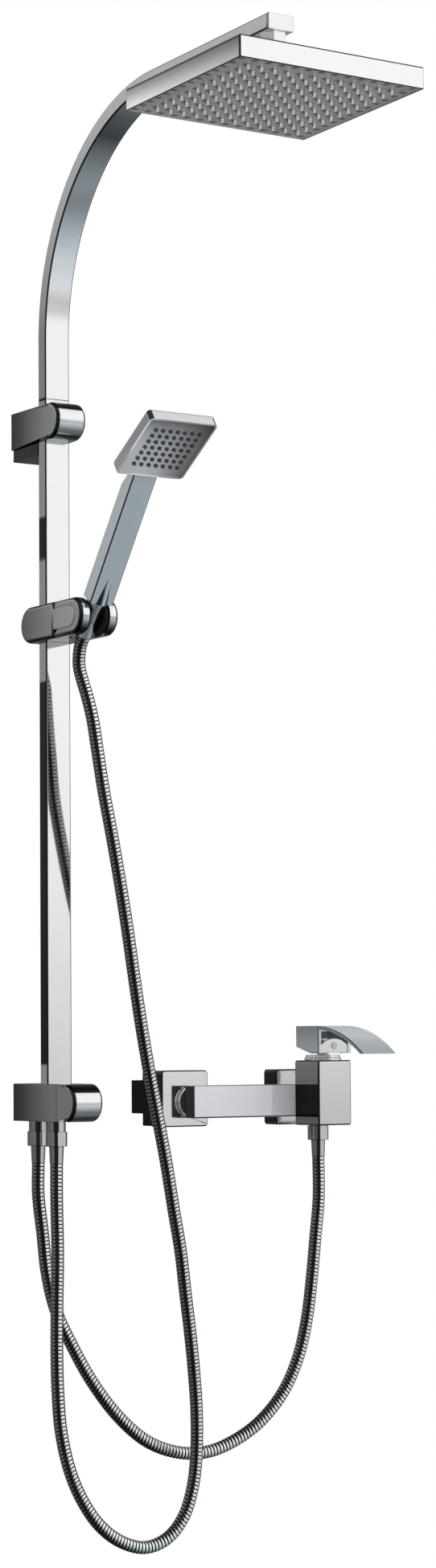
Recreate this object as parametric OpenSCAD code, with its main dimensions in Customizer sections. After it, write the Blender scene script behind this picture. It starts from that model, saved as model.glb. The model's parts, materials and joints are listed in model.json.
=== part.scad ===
// Rainfall shower column: overhead head on a bent rectangular column, sliding hand
// shower, diverter bracket, wall mixer and two metal hoses.
// The wall is the plane y = 0 and the shower stands in front of it, towards -Y.
// The origin is the middle of the lower bracket's back face.

/* [Column] */
// Distance between the middles of the two wall brackets
bracket_gap = 730; // [650:5:800]
// Height of the overhead arm's axis above the lower bracket
arm_h = 1052; // [1040:2:1120]
// Radius of the arm's bend along its axis
bend_r = 230; // [180:5:240]
// Distance from the wall to the column's axis
riser_off = 63; // [60:1:66]
// Distance from the column's axis to the overhead head's axis
head_reach = 440; // [400:5:480]
// Width of the rectangular tube
tube_w = 30; // [28:0.5:31]
// Depth of the rectangular tube
tube_t = 16; // [14:0.5:17]
// Wall thickness of the tube
tube_wall = 1.5; // [1:0.1:2]

/* [Brackets] */
// Width of the two wall brackets
bracket_w = 36; // [35:0.5:40]
// Height of the two wall brackets
bracket_h = 40; // [38:1:44]
// Depth of the upper bracket from wall to nose
upper_depth = 103; // [96:1:115]
// Depth of the diverter body from the wall to its knob
diverter_depth = 95; // [94:1:100]
// Depth of the diverter knob
knob_depth = 37.5; // [34:0.5:45]

/* [Overhead head] */
// Side of the square head
head_side = 210; // [200:1:230]
// Height of the head's edge
head_edge = 22; // [18:1:26]
// Height of the head's top face above the lower bracket
head_top = 1000; // [995:1:1002]
// Nozzles along each side of the head
head_rows = 12; // [8:1:12]
// Distance between neighbouring nozzles
head_pitch = 15; // [12:0.5:15]

/* [Hand shower] */
// Height of the slider's middle above the lower bracket
slider_h = 512; // [480:4:560]
// Distance from the wall to the cradle's pivot
cradle_off = 141; // [139:1:145]
// Forward lean of the hand shower at rest
lean = 37; // [30:1:45]
// Forward bend of the hand shower's head against its handle
head_bend = 21; // [15:1:25]
// Length of the hand shower's handle
handle_len = 158; // [140:2:180]
// Width of the hand shower's face
face_side = 80; // [76:1:90]
// Height of the hand shower's face
face_h = 85; // [78:1:92]

/* [Mixer] */
// Distance from the column to the middle between the mixer's inlets
mixer_x = 259; // [250:1:300]
// Distance between the mixer's inlets
inlet_gap = 150; // [148:1:152]
// Width of the valve block
block_w = 44; // [42:1:46]

/* [Hidden] */

$fn = 64;
eps = 0.1;
fit = 0.1;

// Column heights and places
riser_y = -riser_off;
upper_z = bracket_gap;
bracket_top = upper_z + bracket_h / 2;
seam_z = bracket_top + 6.5;
gasket_t = 0.8;
bend_z = arm_h - bend_r;
head_y = -riser_off - head_reach;
cap_t = 2;
tip_y = head_y - tube_t / 2 - 7;
arm_under = arm_h - tube_t / 2;
nipple_r = 8;
nipple_bore = 5;

// Water ways of the lower bracket
supply_y = -23;
stub_r = 10;
stub_bore = 6;
stub_len = 28.5;
sleeve_r = 11;
sleeve_in = 7;
sleeve_back = -46;
knob_gap = 0.4;
knob_nose = diverter_depth + knob_gap + knob_depth;
anchor_screw_r = 2.25;
anchor_screw_gap = 18;

// Hose ends
hose_r = 7;
nut_r = 12;
nut_len = 15.5;
nut_top = -bracket_h / 2 - 11;
nut_end = nut_top - nut_len;
ferrule_len = 18.5;
ferrule_end = nut_end - ferrule_len;
ferrule_r = 7.9;

// Overhead ball joint
ball_z = 1018;
ball_r = 10;
seat_gap = 0.2;
seat_r = 12.5;
seat_half = 5.5;
cup_r = 16;
cup_cavity = seat_r + 0.2;
nut_rise = 8;
ball_stem_r = 5.5;
hex_collar_r = 13.8;
hex_collar_h = 10;
plate_z = head_top - head_edge + 1;
plate_t = 1.5;
shell_t = 1.2;
mat_t = 2;
nozzle_drop = 5;
nozzle_r = 2.4;

// Slider and cradle
slider_w = 47;
slider_r = 19.75;
slider_back = 28;
slider_seam = 102;
fork_gap = 12.5;
fork_web = 10;
barrel_r = 17;
barrel_half = 12.2;
pin_r = 4;
pin_end = 15.5;
lozenge_h = 22;
lozenge_end = 136;
lozenge_pocket = 6.5;
liner_wall = 1.25;

// Hand shower, in its own frame: z along the handle, -y towards the spray face
cone_top = 22;
cone_bottom = -4;
cone_r1 = 11;
cone_r2 = 8.4;
handset_end = -24;
handle_w = 28.4;
handle_t = 18;
handle_front = -12;
face_z = 178;
face_y = -17.5;
face_t = 14;
face_corner = 5;
rim = 2;
face_rows = 7;
face_pitch = 8.6;

// Mixer
esc_w = 60;
esc_h = 62;
esc_d = 25;
esc_wall = 1.5;
esc_corner = 4;
bar_back = -30.5;
bar_front = -49;
bar_z = -2.5;
bar_h = 36;
bar_over = 4;
block_front = -97;
block_bottom = -30;
block_top = 42;
left_x = mixer_x - inlet_gap / 2;
right_x = mixer_x + inlet_gap / 2;
port_shift = 6;
tail_z = 2.5;
block_x = right_x + 1;
valve_y = (bar_front + block_front) / 2;
cartridge_r = 17.3;
stem_r = 6;
thread_r = 10.48;
outlet_y = -62;
mixer_nut_top = block_bottom - 1;
mixer_ferrule_end = mixer_nut_top - nut_len - ferrule_len;
lever_y = -73;
lever_z = 60;
lever_top = 80;
lever_low = 50;
lever_back = -52;
lever_cap_front = -97;
lever_tip_y = -184;
lever_tip_z = 49;
lever_wall = 4;
blade_t = 4;

// Free hoses: middle lines, from the column's outlet to the hand shower and from the
// column's inlet to the mixer's outlet
handset_exit = place_end(handset_end);
hose_low = [
    [0, -63, ferrule_end], [0, -63, -105], [1, -63, -160], [0, -63, -212],
    [-1, -64, -262], [-1, -66, -305], [2, -67, -345], [10, -69, -383],
    [24, -70, -416], [44, -72, -445], [70, -73, -465], [100, -74, -474],
    [128, -75, -466], [148, -76, -444], [159, -77, -412], [163, -78, -375],
    [162, -80, -332], [157, -83, -288], [150, -87, -246], [142, -91, -204],
    [134, -95, -160], [123, -99, -114], [112, -103, -66], [100, -107, -20],
    [87, -111, 30], [75, -115, 80], [64, -119, 132], [54, -122, 184],
    [43, -125, 236], [33, -126, 284], [24, -125, 330], [18, -122, 375]
];
hose_top = [
    [18, -122, 375], [14, -120, 405], [10, -116, 429], [6, -112, 448],
    [2, -112, 464], place_end(handset_end - 14), handset_exit
];
hose_feed = [
    [0, -23, ferrule_end], [0, -23, -100], [5, -23, -140], [9, -25, -182],
    [18, -28, -222], [37, -31, -262], [59, -34, -300], [88, -37, -337],
    [122, -40, -366], [160, -42, -381], [198, -44, -383], [234, -46, -372],
    [266, -49, -352], [293, -51, -323], [311, -54, -286], [321, -57, -244],
    [326, -60, -200], [330, -62, -155], [block_x, outlet_y, -110],
    [block_x, outlet_y, mixer_ferrule_end]
];

chrome = [0.80, 0.81, 0.83];
steel = [0.62, 0.64, 0.66];
black = [0.08, 0.08, 0.09];
grey = [0.45, 0.46, 0.46];
clear = [0.75, 0.77, 0.78];

// ---- helpers -------------------------------------------------------------------

// A point on the hand shower's axis, in the row frame
function place_end(t) = [
    0,
    -cradle_off - t * sin(lean),
    slider_h + t * cos(lean)
];

function unit(v) = v / norm(v);

// Direction of a route at point i
function heading(p, i) = unit(p[min(i + 1, len(p) - 1)] - p[max(i - 1, 0)]);

// One ring of the swept tube, square to the route
function ring(p, i, r, n) =
    let (t = heading(p, i), u = unit(cross(t, [0, 1, 0])), v = cross(t, u))
    [for (k = [0:n - 1]) p[i] + r * (cos(360 * k / n) * u + sin(360 * k / n) * v)];

module swept_hose(p, r) {
    n = 10;
    rings = [for (i = [0:len(p) - 1]) each ring(p, i, r, n)];
    sides = [
        for (i = [0:len(p) - 2], k = [0:n - 1])
        [i * n + k, i * n + (k + 1) % n, (i + 1) * n + (k + 1) % n, (i + 1) * n + k]
    ];
    first = [for (k = [n - 1:-1:0]) k];
    last = [for (k = [0:n - 1]) (len(p) - 1) * n + k];
    polyhedron(rings, concat([first], sides, [last]), convexity = 10);
}

// Side outline of a bracket: square at the wall, round at the nose
module d_outline(depth, h) {
    translate([0, -h / 2]) square([depth - h / 2, h]);
    translate([depth - h / 2, 0]) circle(d = h);
}

// Turns a side outline, drawn with x as the distance from the wall, into a block
module from_side(w) {
    rotate([90, 0, -90]) linear_extrude(w, center = true) children();
}

module box(x1, x2, y1, y2, z1, z2) {
    translate([min(x1, x2), min(y1, y2), min(z1, z2)])
        cube([abs(x2 - x1), abs(y2 - y1), abs(z2 - z1)]);
}

// A cylinder along Y from y1 to y2
module along_y(x, z, y1, y2, r, fn = 64) {
    translate([x, max(y1, y2), z]) rotate([90, 0, 0]) cylinder(h = abs(y2 - y1), r = r, $fn = fn);
}

// A cylinder along X from x1 to x2
module along_x(y, z, x1, x2, r) {
    translate([min(x1, x2), y, z]) rotate([0, 90, 0]) cylinder(h = abs(x2 - x1), r = r);
}

module along_z(x, y, z1, z2, r, fn = 64) {
    translate([x, y, min(z1, z2)]) cylinder(h = abs(z2 - z1), r = r, $fn = fn);
}

module ring_z(x, y, z1, z2, r_out, r_in) {
    difference() {
        along_z(x, y, z1, z2, r_out);
        along_z(x, y, z1 - eps, z2 + eps, r_in);
    }
}

// A rectangle with rounded corners
module rounded(w, h, r) {
    square([w, h - 2 * r], center = true);
    square([w - 2 * r, h], center = true);
    for (a = [-1, 1], b = [-1, 1]) translate([a * (w / 2 - r), b * (h / 2 - r)]) circle(r);
}

module tube_outline(grow = 0) {
    square([tube_w + 2 * grow, tube_t + 2 * grow], center = true);
}

module tube_section() {
    difference() {
        tube_outline();
        tube_outline(-tube_wall);
    }
}

// Puts a piece drawn in the hand shower's frame in its cradle
module at_cradle() {
    translate([0, -cradle_off, slider_h]) rotate([lean, 0, 0]) children();
}

// Puts a piece drawn on the hand shower's face: x across, z up the face, +y behind it
module at_face() {
    at_cradle() translate([0, face_y, face_z]) rotate([head_bend, 0, 0]) children();
}

// ---- column --------------------------------------------------------------------

module upper_arm() {
    color(chrome) difference() {
        union() {
            translate([0, riser_y, seam_z]) linear_extrude(bend_z - seam_z) tube_section();
            translate([0, riser_y - bend_r, bend_z])
                rotate([90, 0, 90])
                    rotate_extrude(angle = 90, $fn = 96)
                        translate([bend_r, 0]) rotate(90) tube_section();
            translate([0, riser_y - bend_r, arm_h])
                rotate([90, 0, 0])
                    linear_extrude(riser_y - bend_r - tip_y - cap_t) tube_section();
        }
        along_z(0, head_y, arm_under - 1, arm_h, nipple_r + fit);
    }
}

module arm_end_cap() {
    plug = 6;
    color(chrome) difference() {
        union() {
            translate([0, tip_y + cap_t, arm_h]) rotate([90, 0, 0]) linear_extrude(cap_t) tube_outline();
            translate([0, tip_y + cap_t + plug, arm_h])
                rotate([90, 0, 0]) linear_extrude(plug) tube_outline(-tube_wall - fit);
        }
        translate([0, tip_y + cap_t + plug + 1, arm_h])
            rotate([90, 0, 0]) linear_extrude(plug + 1) tube_outline(-tube_wall - 1.3);
        along_z(0, head_y, arm_under + 1, arm_h, 12.2);
    }
}

module arm_nipple() {
    color(steel) ring_z(0, head_y, arm_under - 8, arm_h + 3.5, nipple_r, nipple_bore);
}

module arm_lock_nut() {
    color(steel) difference() {
        along_z(0, head_y, arm_under + tube_wall, arm_h - 1.5, 12, 6);
        along_z(0, head_y, arm_under, arm_h, nipple_r + fit);
    }
}

module lower_riser() {
    color(chrome) translate([0, riser_y, bracket_h / 2 - 8])
        linear_extrude(seam_z - gasket_t - bracket_h / 2 + 8) tube_section();
}

module riser_spigot() {
    color(steel) translate([0, riser_y, seam_z - 40]) linear_extrude(72) difference() {
        tube_outline(-tube_wall - fit);
        tube_outline(-tube_wall - 1.3);
    }
}

module seam_gasket() {
    color(black) translate([0, riser_y, seam_z - gasket_t]) linear_extrude(gasket_t) difference() {
        tube_outline(-0.3);
        tube_outline(-tube_wall);
    }
}

module upper_bracket() {
    color(chrome) difference() {
        translate([0, 0, upper_z]) from_side(bracket_w) d_outline(upper_depth, bracket_h);
        translate([0, riser_y, upper_z - bracket_h]) linear_extrude(2 * bracket_h) tube_outline(fit);
        box(-14, 14, 1, -10, upper_z - bracket_h / 2 - 1, upper_z + 16);
        box(-13, 13, -9, riser_y + tube_t / 2 + 4, upper_z - 15, upper_z + 15);
        along_z(0, -5, upper_z + 15, bracket_top + 1, 2.5);
    }
}

module upper_wall_anchor() {
    color(black) difference() {
        union() {
            box(-13.8, 13.8, 0, -8, upper_z - bracket_h / 2 - eps, upper_z + 14);
            box(-15.5, 15.5, 0, riser_y + tube_t / 2 + 0.2,
                upper_z - bracket_h / 2 - 13, upper_z - bracket_h / 2 - eps);
        }
        anchor_holes(upper_z);
    }
}

// Two screw holes, one above the other
module anchor_holes(z) {
    for (s = [-1, 1]) along_y(0, z + s * anchor_screw_gap / 2, 1, -11, anchor_screw_r);
}

// ---- lower bracket with the diverter --------------------------------------------

module diverter_body() {
    h = bracket_h / 2;
    color(chrome) difference() {
        box(-bracket_w / 2, bracket_w / 2, 0, -diverter_depth, -h, h);
        box(-15, 15, 1, -11, -16, 16);
        translate([0, riser_y, h - 8]) linear_extrude(10) tube_outline(fit);
        along_y(0, 0, -diverter_depth - 1, sleeve_back, sleeve_r + fit);
        along_z(0, supply_y, -h - 1, nut_top + stub_len - 10, stub_r + fit);
        along_z(0, supply_y, -14, 0, stub_bore);
        along_y(0, 0, supply_y - 2, sleeve_back - 1, 5);
        along_z(0, riser_y, -h - 1, nut_top + stub_len - 10, stub_r + fit);
        along_z(0, riser_y, -14, 14, stub_bore);
        along_z(0, -5.5, -h - 1, -15, 2.5);
    }
}

module lower_wall_anchor() {
    color(black) difference() {
        box(-14.8, 14.8, 0, -8, -15.8, 15.8);
        anchor_holes(0);
    }
}

module bracket_grub_screws() {
    color(steel) {
        grub_screw(upper_z + 14 + 0.2, bracket_top - 0.5, -5);
        grub_screw(-bracket_h / 2 + 0.5, -16, -5.5);
    }
}

module grub_screw(z1, z2, y) {
    difference() {
        along_z(0, y, z1, z2, 2.4);
        along_z(0, y, z1 - 1, z1 + 1.2, 1.2, 6);
    }
}

module diverter_sleeve() {
    color(steel) difference() {
        along_y(0, 0, sleeve_back, -diverter_depth + 0.5, sleeve_r);
        along_y(0, 0, sleeve_back + 1, -diverter_depth - 1, sleeve_in);
        along_z(0, riser_y, -sleeve_r - 1, sleeve_r + 1, 4.5);
    }
}

module diverter_spindle() {
    seal_y = -diverter_depth + 12;
    color(steel) difference() {
        union() {
            along_y(0, 0, sleeve_back - 1, -diverter_depth + 0.5, sleeve_in - 0.08);
            along_y(0, 0, -diverter_depth + 0.6, -diverter_depth - 12, 5);
        }
        along_y(0, 0, sleeve_back + 1, riser_y - 8, 4);
        along_z(0, riser_y, -10, 0, 4);
        difference() {
            along_y(0, 0, seal_y, seal_y - 2.4, 8);
            along_y(0, 0, seal_y + 1, seal_y - 4, 5.4);
        }
    }
}

module diverter_seals() {
    seal_y = -diverter_depth + 12;
    color(black) translate([0, seal_y - 1.2, 0]) rotate([90, 0, 0])
        rotate_extrude() translate([5.4 + 0.65, 0]) circle(r = 0.6, $fn = 24);
}

module diverter_knob() {
    y1 = diverter_depth + knob_gap;
    color(chrome) difference() {
        from_side(bracket_w) intersection() {
            d_outline(knob_nose, bracket_h);
            translate([y1, -bracket_h]) square([knob_nose, 2 * bracket_h]);
        }
        along_y(0, 0, -y1 + 1, -y1 - 12.5, 5 + 0.02);
    }
}

// ---- hoses and their ends --------------------------------------------------------

// Calls its children at the top of each hose nut: x, y and height
module at_hose_ends() {
    for (p = [[0, supply_y, nut_top], [0, riser_y, nut_top], [block_x, outlet_y, mixer_nut_top]])
        translate(p) children();
}

module hose_stubs() {
    color(chrome) at_hose_ends() ring_z(0, 0, -10, stub_len - 10, stub_r, stub_bore);
}

module hose_nuts() {
    color(chrome) at_hose_ends() difference() {
        intersection() {
            along_z(0, 0, -nut_len, 0, nut_r);
            along_z(0, 0, -nut_len, 0, nut_r + 1.2, 6);
        }
        along_z(0, 0, -12.5, 1, stub_r + fit);
        along_z(0, 0, -nut_len - 1, 1, 6.2);
    }
}

module hose_ferrules() {
    color(chrome) at_hose_ends() translate([0, 0, -nut_len - ferrule_len]) difference() {
        cylinder(h = ferrule_len, r1 = hose_r + 0.1, r2 = ferrule_r);
        translate([0, 0, -1]) cylinder(h = ferrule_len + 2, r = 4.5);
    }
}

module hose_washers() {
    color(black) at_hose_ends() ring_z(0, 0, -12.4, -10.2, 9.5, 5);
}

module supply_hose() {
    color(steel) swept_hose(hose_feed, hose_r);
}

module handset_hose() {
    color(steel) swept_hose(hose_low, hose_r);
}

module handset_hose_top() {
    color(steel) swept_hose(hose_top, hose_r);
}

// ---- slider ---------------------------------------------------------------------

// Side outline of the whole slider: a bar with round ends
module slider_outline() {
    back = slider_back + slider_r;
    translate([back, 0]) circle(slider_r);
    translate([cradle_off, 0]) circle(slider_r);
    translate([back, -slider_r]) square([cradle_off - back, 2 * slider_r]);
}

module slider_body() {
    color(chrome) difference() {
        translate([0, 0, slider_h]) from_side(slider_w) intersection() {
            slider_outline();
            translate([0, -slider_h]) square([slider_seam - 0.2, 2 * slider_h]);
        }
        translate([0, riser_y, slider_h - 2 * slider_r])
            linear_extrude(4 * slider_r) tube_outline(liner_wall + fit);
        box(-6, 6, riser_y - tube_t / 2, -92, slider_h - 8, slider_h + 8);
    }
}

module slider_liner() {
    color(black) translate([0, riser_y, slider_h - slider_r + 1]) linear_extrude(2 * slider_r - 2)
        difference() {
            tube_outline(liner_wall);
            tube_outline(0.1);
            translate([-6.5, -tube_t]) square([13, tube_t - 5]);
        }
}

module clamp_pad() {
    front = riser_y - tube_t / 2 - 0.3;
    color(black) box(-5.8, 5.8, front, front - 5, slider_h - 7.8, slider_h + 7.8);
}

module clamp_spring() {
    front = riser_y - tube_t / 2 - 5.4;
    color(steel) difference() {
        along_y(0, slider_h, front, -91.9, 4);
        along_y(0, slider_h, front + 1, -93, 2.6);
    }
}

// Outline of the press button in the slider's side, drawn like the slider's outline
module lozenge(grow) {
    h = lozenge_h / 2 + grow;
    translate([slider_seam + 0.6 - grow, -h])
        square([lozenge_end - slider_seam - 0.6 + grow, 2 * h]);
    translate([lozenge_end, 0]) circle(h);
}

module slider_fork() {
    color(chrome) difference() {
        translate([0, 0, slider_h]) from_side(slider_w) intersection() {
            slider_outline();
            translate([slider_seam, -slider_h]) square([slider_h, 2 * slider_h]);
        }
        box(-fork_gap, fork_gap, -slider_seam - fork_web, -300, slider_h - 30, slider_h + 30);
        along_x(-cradle_off, slider_h, -pin_end - 0.3, pin_end + 0.3, pin_r + 0.08);
        translate([-slider_w / 2, 0, slider_h])
            from_side(2 * lozenge_pocket) lozenge(0.3);
    }
}

module release_button() {
    color(chrome) translate([-slider_w / 2 + 1, 0, slider_h]) from_side(3.6) lozenge(0);
}

module button_spring() {
    x1 = -slider_w / 2 + lozenge_pocket;
    color(steel) difference() {
        along_x(-122, slider_h, x1 - 3.6, x1, 4);
        along_x(-122, slider_h, x1 - 5, x1 + 1, 3);
    }
}

module cradle() {
    color(black) difference() {
        union() {
            along_x(-cradle_off, slider_h, -barrel_half, barrel_half, barrel_r);
            along_x(-cradle_off, slider_h, -pin_end, pin_end, pin_r);
        }
        at_cradle() {
            translate([0, 0, cone_bottom])
                cylinder(h = cone_top - cone_bottom, r1 = cone_r2 + 0.35, r2 = cone_r1 + 0.35);
            translate([0, 0, -40]) cylinder(h = 40, r = cone_r2 + 0.35);
            box(-8.7, 8.7, 0, -40, -40, 40);
        }
    }
}

// ---- hand shower ------------------------------------------------------------------

module handset_handle() {
    color(chrome) at_cradle() difference() {
        union() {
            difference() {
                translate([-handle_w / 2, handle_front, cone_top])
                    cube([handle_w, handle_t, handle_len + 12]);
                behind_face();
            }
            intersection() {
                hull() {
                    translate([0, handle_front + 5, cone_top]) cylinder(h = 0.5, r = 8.5, $fn = 32);
                    translate([0, handle_front + 1, cone_top + 40]) cylinder(h = 0.5, r = 0.8, $fn = 32);
                }
                translate([-20, handle_front - 10, cone_top]) cube([40, 14, 60]);
            }
        }
        translate([0, 0, cone_top - 1]) cylinder(h = handle_len - 20, r = 5.5);
    }
}

// Everything behind the hand shower's back face
module behind_face() {
    translate([0, face_y, face_z]) rotate([head_bend, 0, 0])
        translate([-50, face_t, -60]) cube([100, 60, 160]);
}

module handset_cone() {
    color(chrome) at_cradle() difference() {
        translate([0, 0, cone_bottom])
            cylinder(h = cone_top - cone_bottom, r1 = cone_r2, r2 = cone_r1);
        translate([0, 0, cone_bottom - 1]) cylinder(h = cone_top - cone_bottom + 2, r = 5.5);
    }
}

module handset_washer() {
    color(black) at_cradle() ring_z(0, 0, cone_bottom - 1, cone_bottom, 7.6, 4.5);
}

module handset_hose_nut() {
    color(chrome) at_cradle() difference() {
        translate([0, 0, handset_end])
            cylinder(h = cone_bottom - 1 - handset_end, r1 = 7.2, r2 = 8.1);
        translate([0, 0, handset_end - 1]) cylinder(h = 30, r = 4.5);
    }
}

// Rounded block of the hand shower's head, y from y1 to y2 behind the face
module face_block(inset, y1, y2) {
    translate([0, y2, face_h / 2]) rotate([90, 0, 0])
        linear_extrude(y2 - y1)
            rounded(face_side - 2 * inset, face_h - 2 * inset, face_corner - inset);
}

module handset_back() {
    color(chrome) difference() {
        at_face() difference() {
            face_block(0, 0, face_t);
            face_block(rim, -1, face_t - 6);
        }
        at_cradle() translate([-handle_w / 2 - fit, handle_front - fit, cone_top])
            cube([handle_w + 2 * fit, handle_t + 2 * fit, handle_len + 12 + fit]);
    }
}

module handset_spray_plate() {
    color(grey) at_face() difference() {
        face_block(rim + fit, 0.5, 3);
        face_grid() cylinder(h = 10, r = 2.45, center = true, $fn = 24);
    }
}

// Calls its children at each nozzle of the hand shower, axis along the spray
module face_grid() {
    half = (face_rows - 1) / 2;
    for (i = [-half:half], k = [-half:half])
        translate([i * face_pitch, 0, face_h / 2 + k * face_pitch]) rotate([90, 0, 0]) children();
}

module handset_nozzles() {
    color(clear) at_face() {
        translate([-29, 3, face_h / 2 - 29]) cube([58, 1.5, 58]);
        face_grid() translate([0, 0, -3.5]) cylinder(h = 5, r1 = 2.3, r2 = 1.7, $fn = 24);
    }
}

// ---- overhead head ----------------------------------------------------------------

module head_shell() {
    s = head_side / 2;
    color(chrome) difference() {
        box(-s, s, head_y - s, head_y + s, head_top - head_edge, head_top);
        box(-s + shell_t, s - shell_t, head_y - s + shell_t, head_y + s - shell_t,
            head_top - head_edge - 1, head_top - shell_t);
        along_z(0, head_y, head_top - 5, head_top + 1, 9 + fit);
    }
}

// Calls its children at each nozzle of the overhead head
module head_grid() {
    half = (head_rows - 1) / 2;
    for (i = [-half:half], k = [-half:half])
        translate([i * head_pitch, head_y + k * head_pitch, plate_z]) children();
}

module head_spray_plate() {
    s = head_side / 2 - shell_t - fit;
    color(grey) difference() {
        box(-s, s, head_y - s, head_y + s, plate_z, plate_z + plate_t);
        head_grid() translate([0, 0, -1]) cylinder(h = plate_t + 2, r = nozzle_r + fit, $fn = 24);
    }
}

module head_nozzles() {
    s = head_pitch * head_rows / 2 + 4;
    z = plate_z + plate_t;
    color(clear) {
        box(-s, s, head_y - s, head_y + s, z, z + mat_t);
        head_grid() translate([0, 0, plate_t - nozzle_drop])
            cylinder(h = nozzle_drop + 0.5, r1 = 1.6, r2 = nozzle_r, $fn = 24);
    }
}

module head_gasket() {
    s = head_side / 2 - shell_t - fit;
    m = head_pitch * head_rows / 2 + 4.2;
    z = plate_z + plate_t;
    color(black) difference() {
        box(-s, s, head_y - s, head_y + s, z, z + mat_t);
        box(-m, m, head_y - m, head_y + m, z - 1, z + mat_t + 1);
    }
}

module head_neck() {
    color(chrome) difference() {
        union() {
            along_z(0, head_y, head_top, ball_z, cup_r);
            along_z(0, head_y, head_top - 6, head_top, 9);
        }
        translate([0, head_y, ball_z]) sphere(cup_cavity, $fn = 96);
        along_z(0, head_y, head_top - 7, ball_z, 5);
    }
}

module swivel_nut() {
    color(chrome) difference() {
        along_z(0, head_y, ball_z, ball_z + nut_rise, cup_r + 1.5, 6);
        translate([0, head_y, ball_z]) sphere(cup_cavity, $fn = 96);
    }
}

module swivel_seat() {
    color(black) translate([0, head_y, ball_z]) intersection() {
        difference() {
            sphere(seat_r, $fn = 96);
            sphere(ball_r + seat_gap, $fn = 96);
        }
        cube([40, 40, 2 * seat_half], center = true);
    }
}

module swivel_ball() {
    collar_z = arm_under - hex_collar_h;
    color(chrome) difference() {
        union() {
            translate([0, head_y, ball_z]) sphere(ball_r, $fn = 96);
            along_z(0, head_y, ball_z + 7, collar_z + 1, ball_stem_r);
            along_z(0, head_y, collar_z, arm_under, hex_collar_r, 6);
        }
        along_z(0, head_y, ball_z - 11, arm_under + 1, 3.5);
        along_z(0, head_y, arm_under - 8.2, arm_under + 1, nipple_r + fit);
    }
}

// ---- mixer --------------------------------------------------------------------------

module mixer_bar() {
    low = bar_z - bar_h / 2;
    port_x = left_x + port_shift;
    color(chrome) difference() {
        box(left_x - bar_over, right_x + bar_over, bar_back, bar_front, low, low + bar_h);
        along_y(port_x, bar_z, bar_back + 1, -40, 7);
        along_x(-40, bar_z, port_x, block_x - 18, 5);
        along_y(block_x - 18, bar_z, -40, bar_front - 1, 3);
        along_y(block_x - 5, bar_z, bar_back + 1, bar_front - 1, 5);
    }
}

module valve_block() {
    w = block_w / 2;
    color(chrome) difference() {
        box(block_x - w, block_x + w, bar_front, block_front, block_bottom, block_top);
        along_z(block_x, valve_y, 0, block_top + 1, cartridge_r + 0.2);
        along_y(block_x - 18, bar_z, bar_front + 1, valve_y, 3);
        along_y(block_x - 5, bar_z, bar_front + 1, -62, 5);
        along_z(block_x, valve_y + 4, -14, 1, 5);
        along_z(block_x, outlet_y, block_bottom - 1, -11, stub_bore);
        along_z(block_x, outlet_y, block_bottom - 1, mixer_nut_top + stub_len - 10, stub_r + fit);
    }
}

// A wall cover; the pipe union passes through it, shifted by s
module escutcheon(x, s) {
    color(chrome) difference() {
        translate([x, 0, 1]) rotate([90, 0, 0]) linear_extrude(esc_d) rounded(esc_w, esc_h, esc_corner);
        translate([x, 1, 1]) rotate([90, 0, 0]) linear_extrude(esc_d - esc_wall + 1)
            rounded(esc_w - 2 * esc_wall, esc_h - 2 * esc_wall, esc_corner - esc_wall);
        along_y(x + s, bar_z, 0, -esc_d - 1, 17);
    }
}

module left_escutcheon() {
    escutcheon(left_x, port_shift);
}

module right_escutcheon() {
    escutcheon(right_x, -port_shift);
}

module left_supply_tail() {
    color(black) difference() {
        union() {
            box(left_x - 29, left_x + 29, 0.1, 18, 1 - 30, 1 + 30);
            box(left_x - 18.5, left_x + 18.5, 17.9, 60, tail_z - 18.5, tail_z + 18.5);
        }
        along_y(left_x, tail_z, 44, 61, thread_r);
        along_y(left_x, tail_z, 10, 45, 7);
        along_y(left_x, bar_z, -1, 10.2, thread_r + fit);
    }
}

// An eccentric coupling: the wall end on the inlet's axis, the mixer end shifted by s
module coupling(x, s, back) {
    difference() {
        union() {
            along_y(x, bar_z, back, -4, thread_r);
            along_y(x, bar_z, 0, -8, 14, 6);
            along_y(x + s, bar_z, -8, -24.5, thread_r);
        }
        along_y(x, bar_z, back + 1, -7.9, 6);
        along_y(x + s, bar_z, -6, -31, 6);
    }
}

module couplings() {
    color(steel) {
        coupling(left_x, port_shift, 10);
        coupling(right_x, -port_shift, 18);
    }
}

module union_nuts() {
    color(chrome) for (x = [left_x + port_shift, right_x - port_shift])
        difference() {
            along_y(x, bar_z, -12, bar_back + 0.1, 16.5);
            along_y(x, bar_z, -11, -25.5, thread_r + 0.2);
            along_y(x, bar_z, -24, bar_back - 1, 7);
        }
}

module cartridge() {
    color(grey) difference() {
        along_z(block_x, valve_y, 3.2, block_top - 0.2, cartridge_r);
        along_z(block_x, valve_y, 20, block_top + 1, stem_r + 0.06);
        along_z(block_x, valve_y + 4, 2, 10, 4.5);
    }
}

module cartridge_nut() {
    color(chrome) difference() {
        union() {
            along_z(block_x, valve_y, block_top, block_top + 3, 20.6);
            along_z(block_x, valve_y, block_top + 3, block_top + 6, 19.2);
        }
        along_z(block_x, valve_y, block_top - 1, block_top + 7, 12);
    }
}

module cartridge_stem() {
    color(steel) difference() {
        union() {
            along_z(block_x, lever_y, 20.3, lever_z - 10, stem_r);
            box(block_x - 5, block_x + 5, lever_y - 5, lever_y + 5, lever_z - 11, lever_z + 6);
        }
        along_x(lever_y, lever_z, block_x - 6, block_x + 6, 2.08);
    }
}

// Side outline of the lever's cap, over the cartridge
module cap_outline() {
    polygon([
        [-lever_back, 57], [-lever_back, lever_top], [-lever_cap_front - 4, lever_top],
        [-lever_cap_front, lever_top - blade_t], [-lever_cap_front, lever_low],
        [-lever_back + 29, lever_low - 0.5]
    ]);
}

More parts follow.
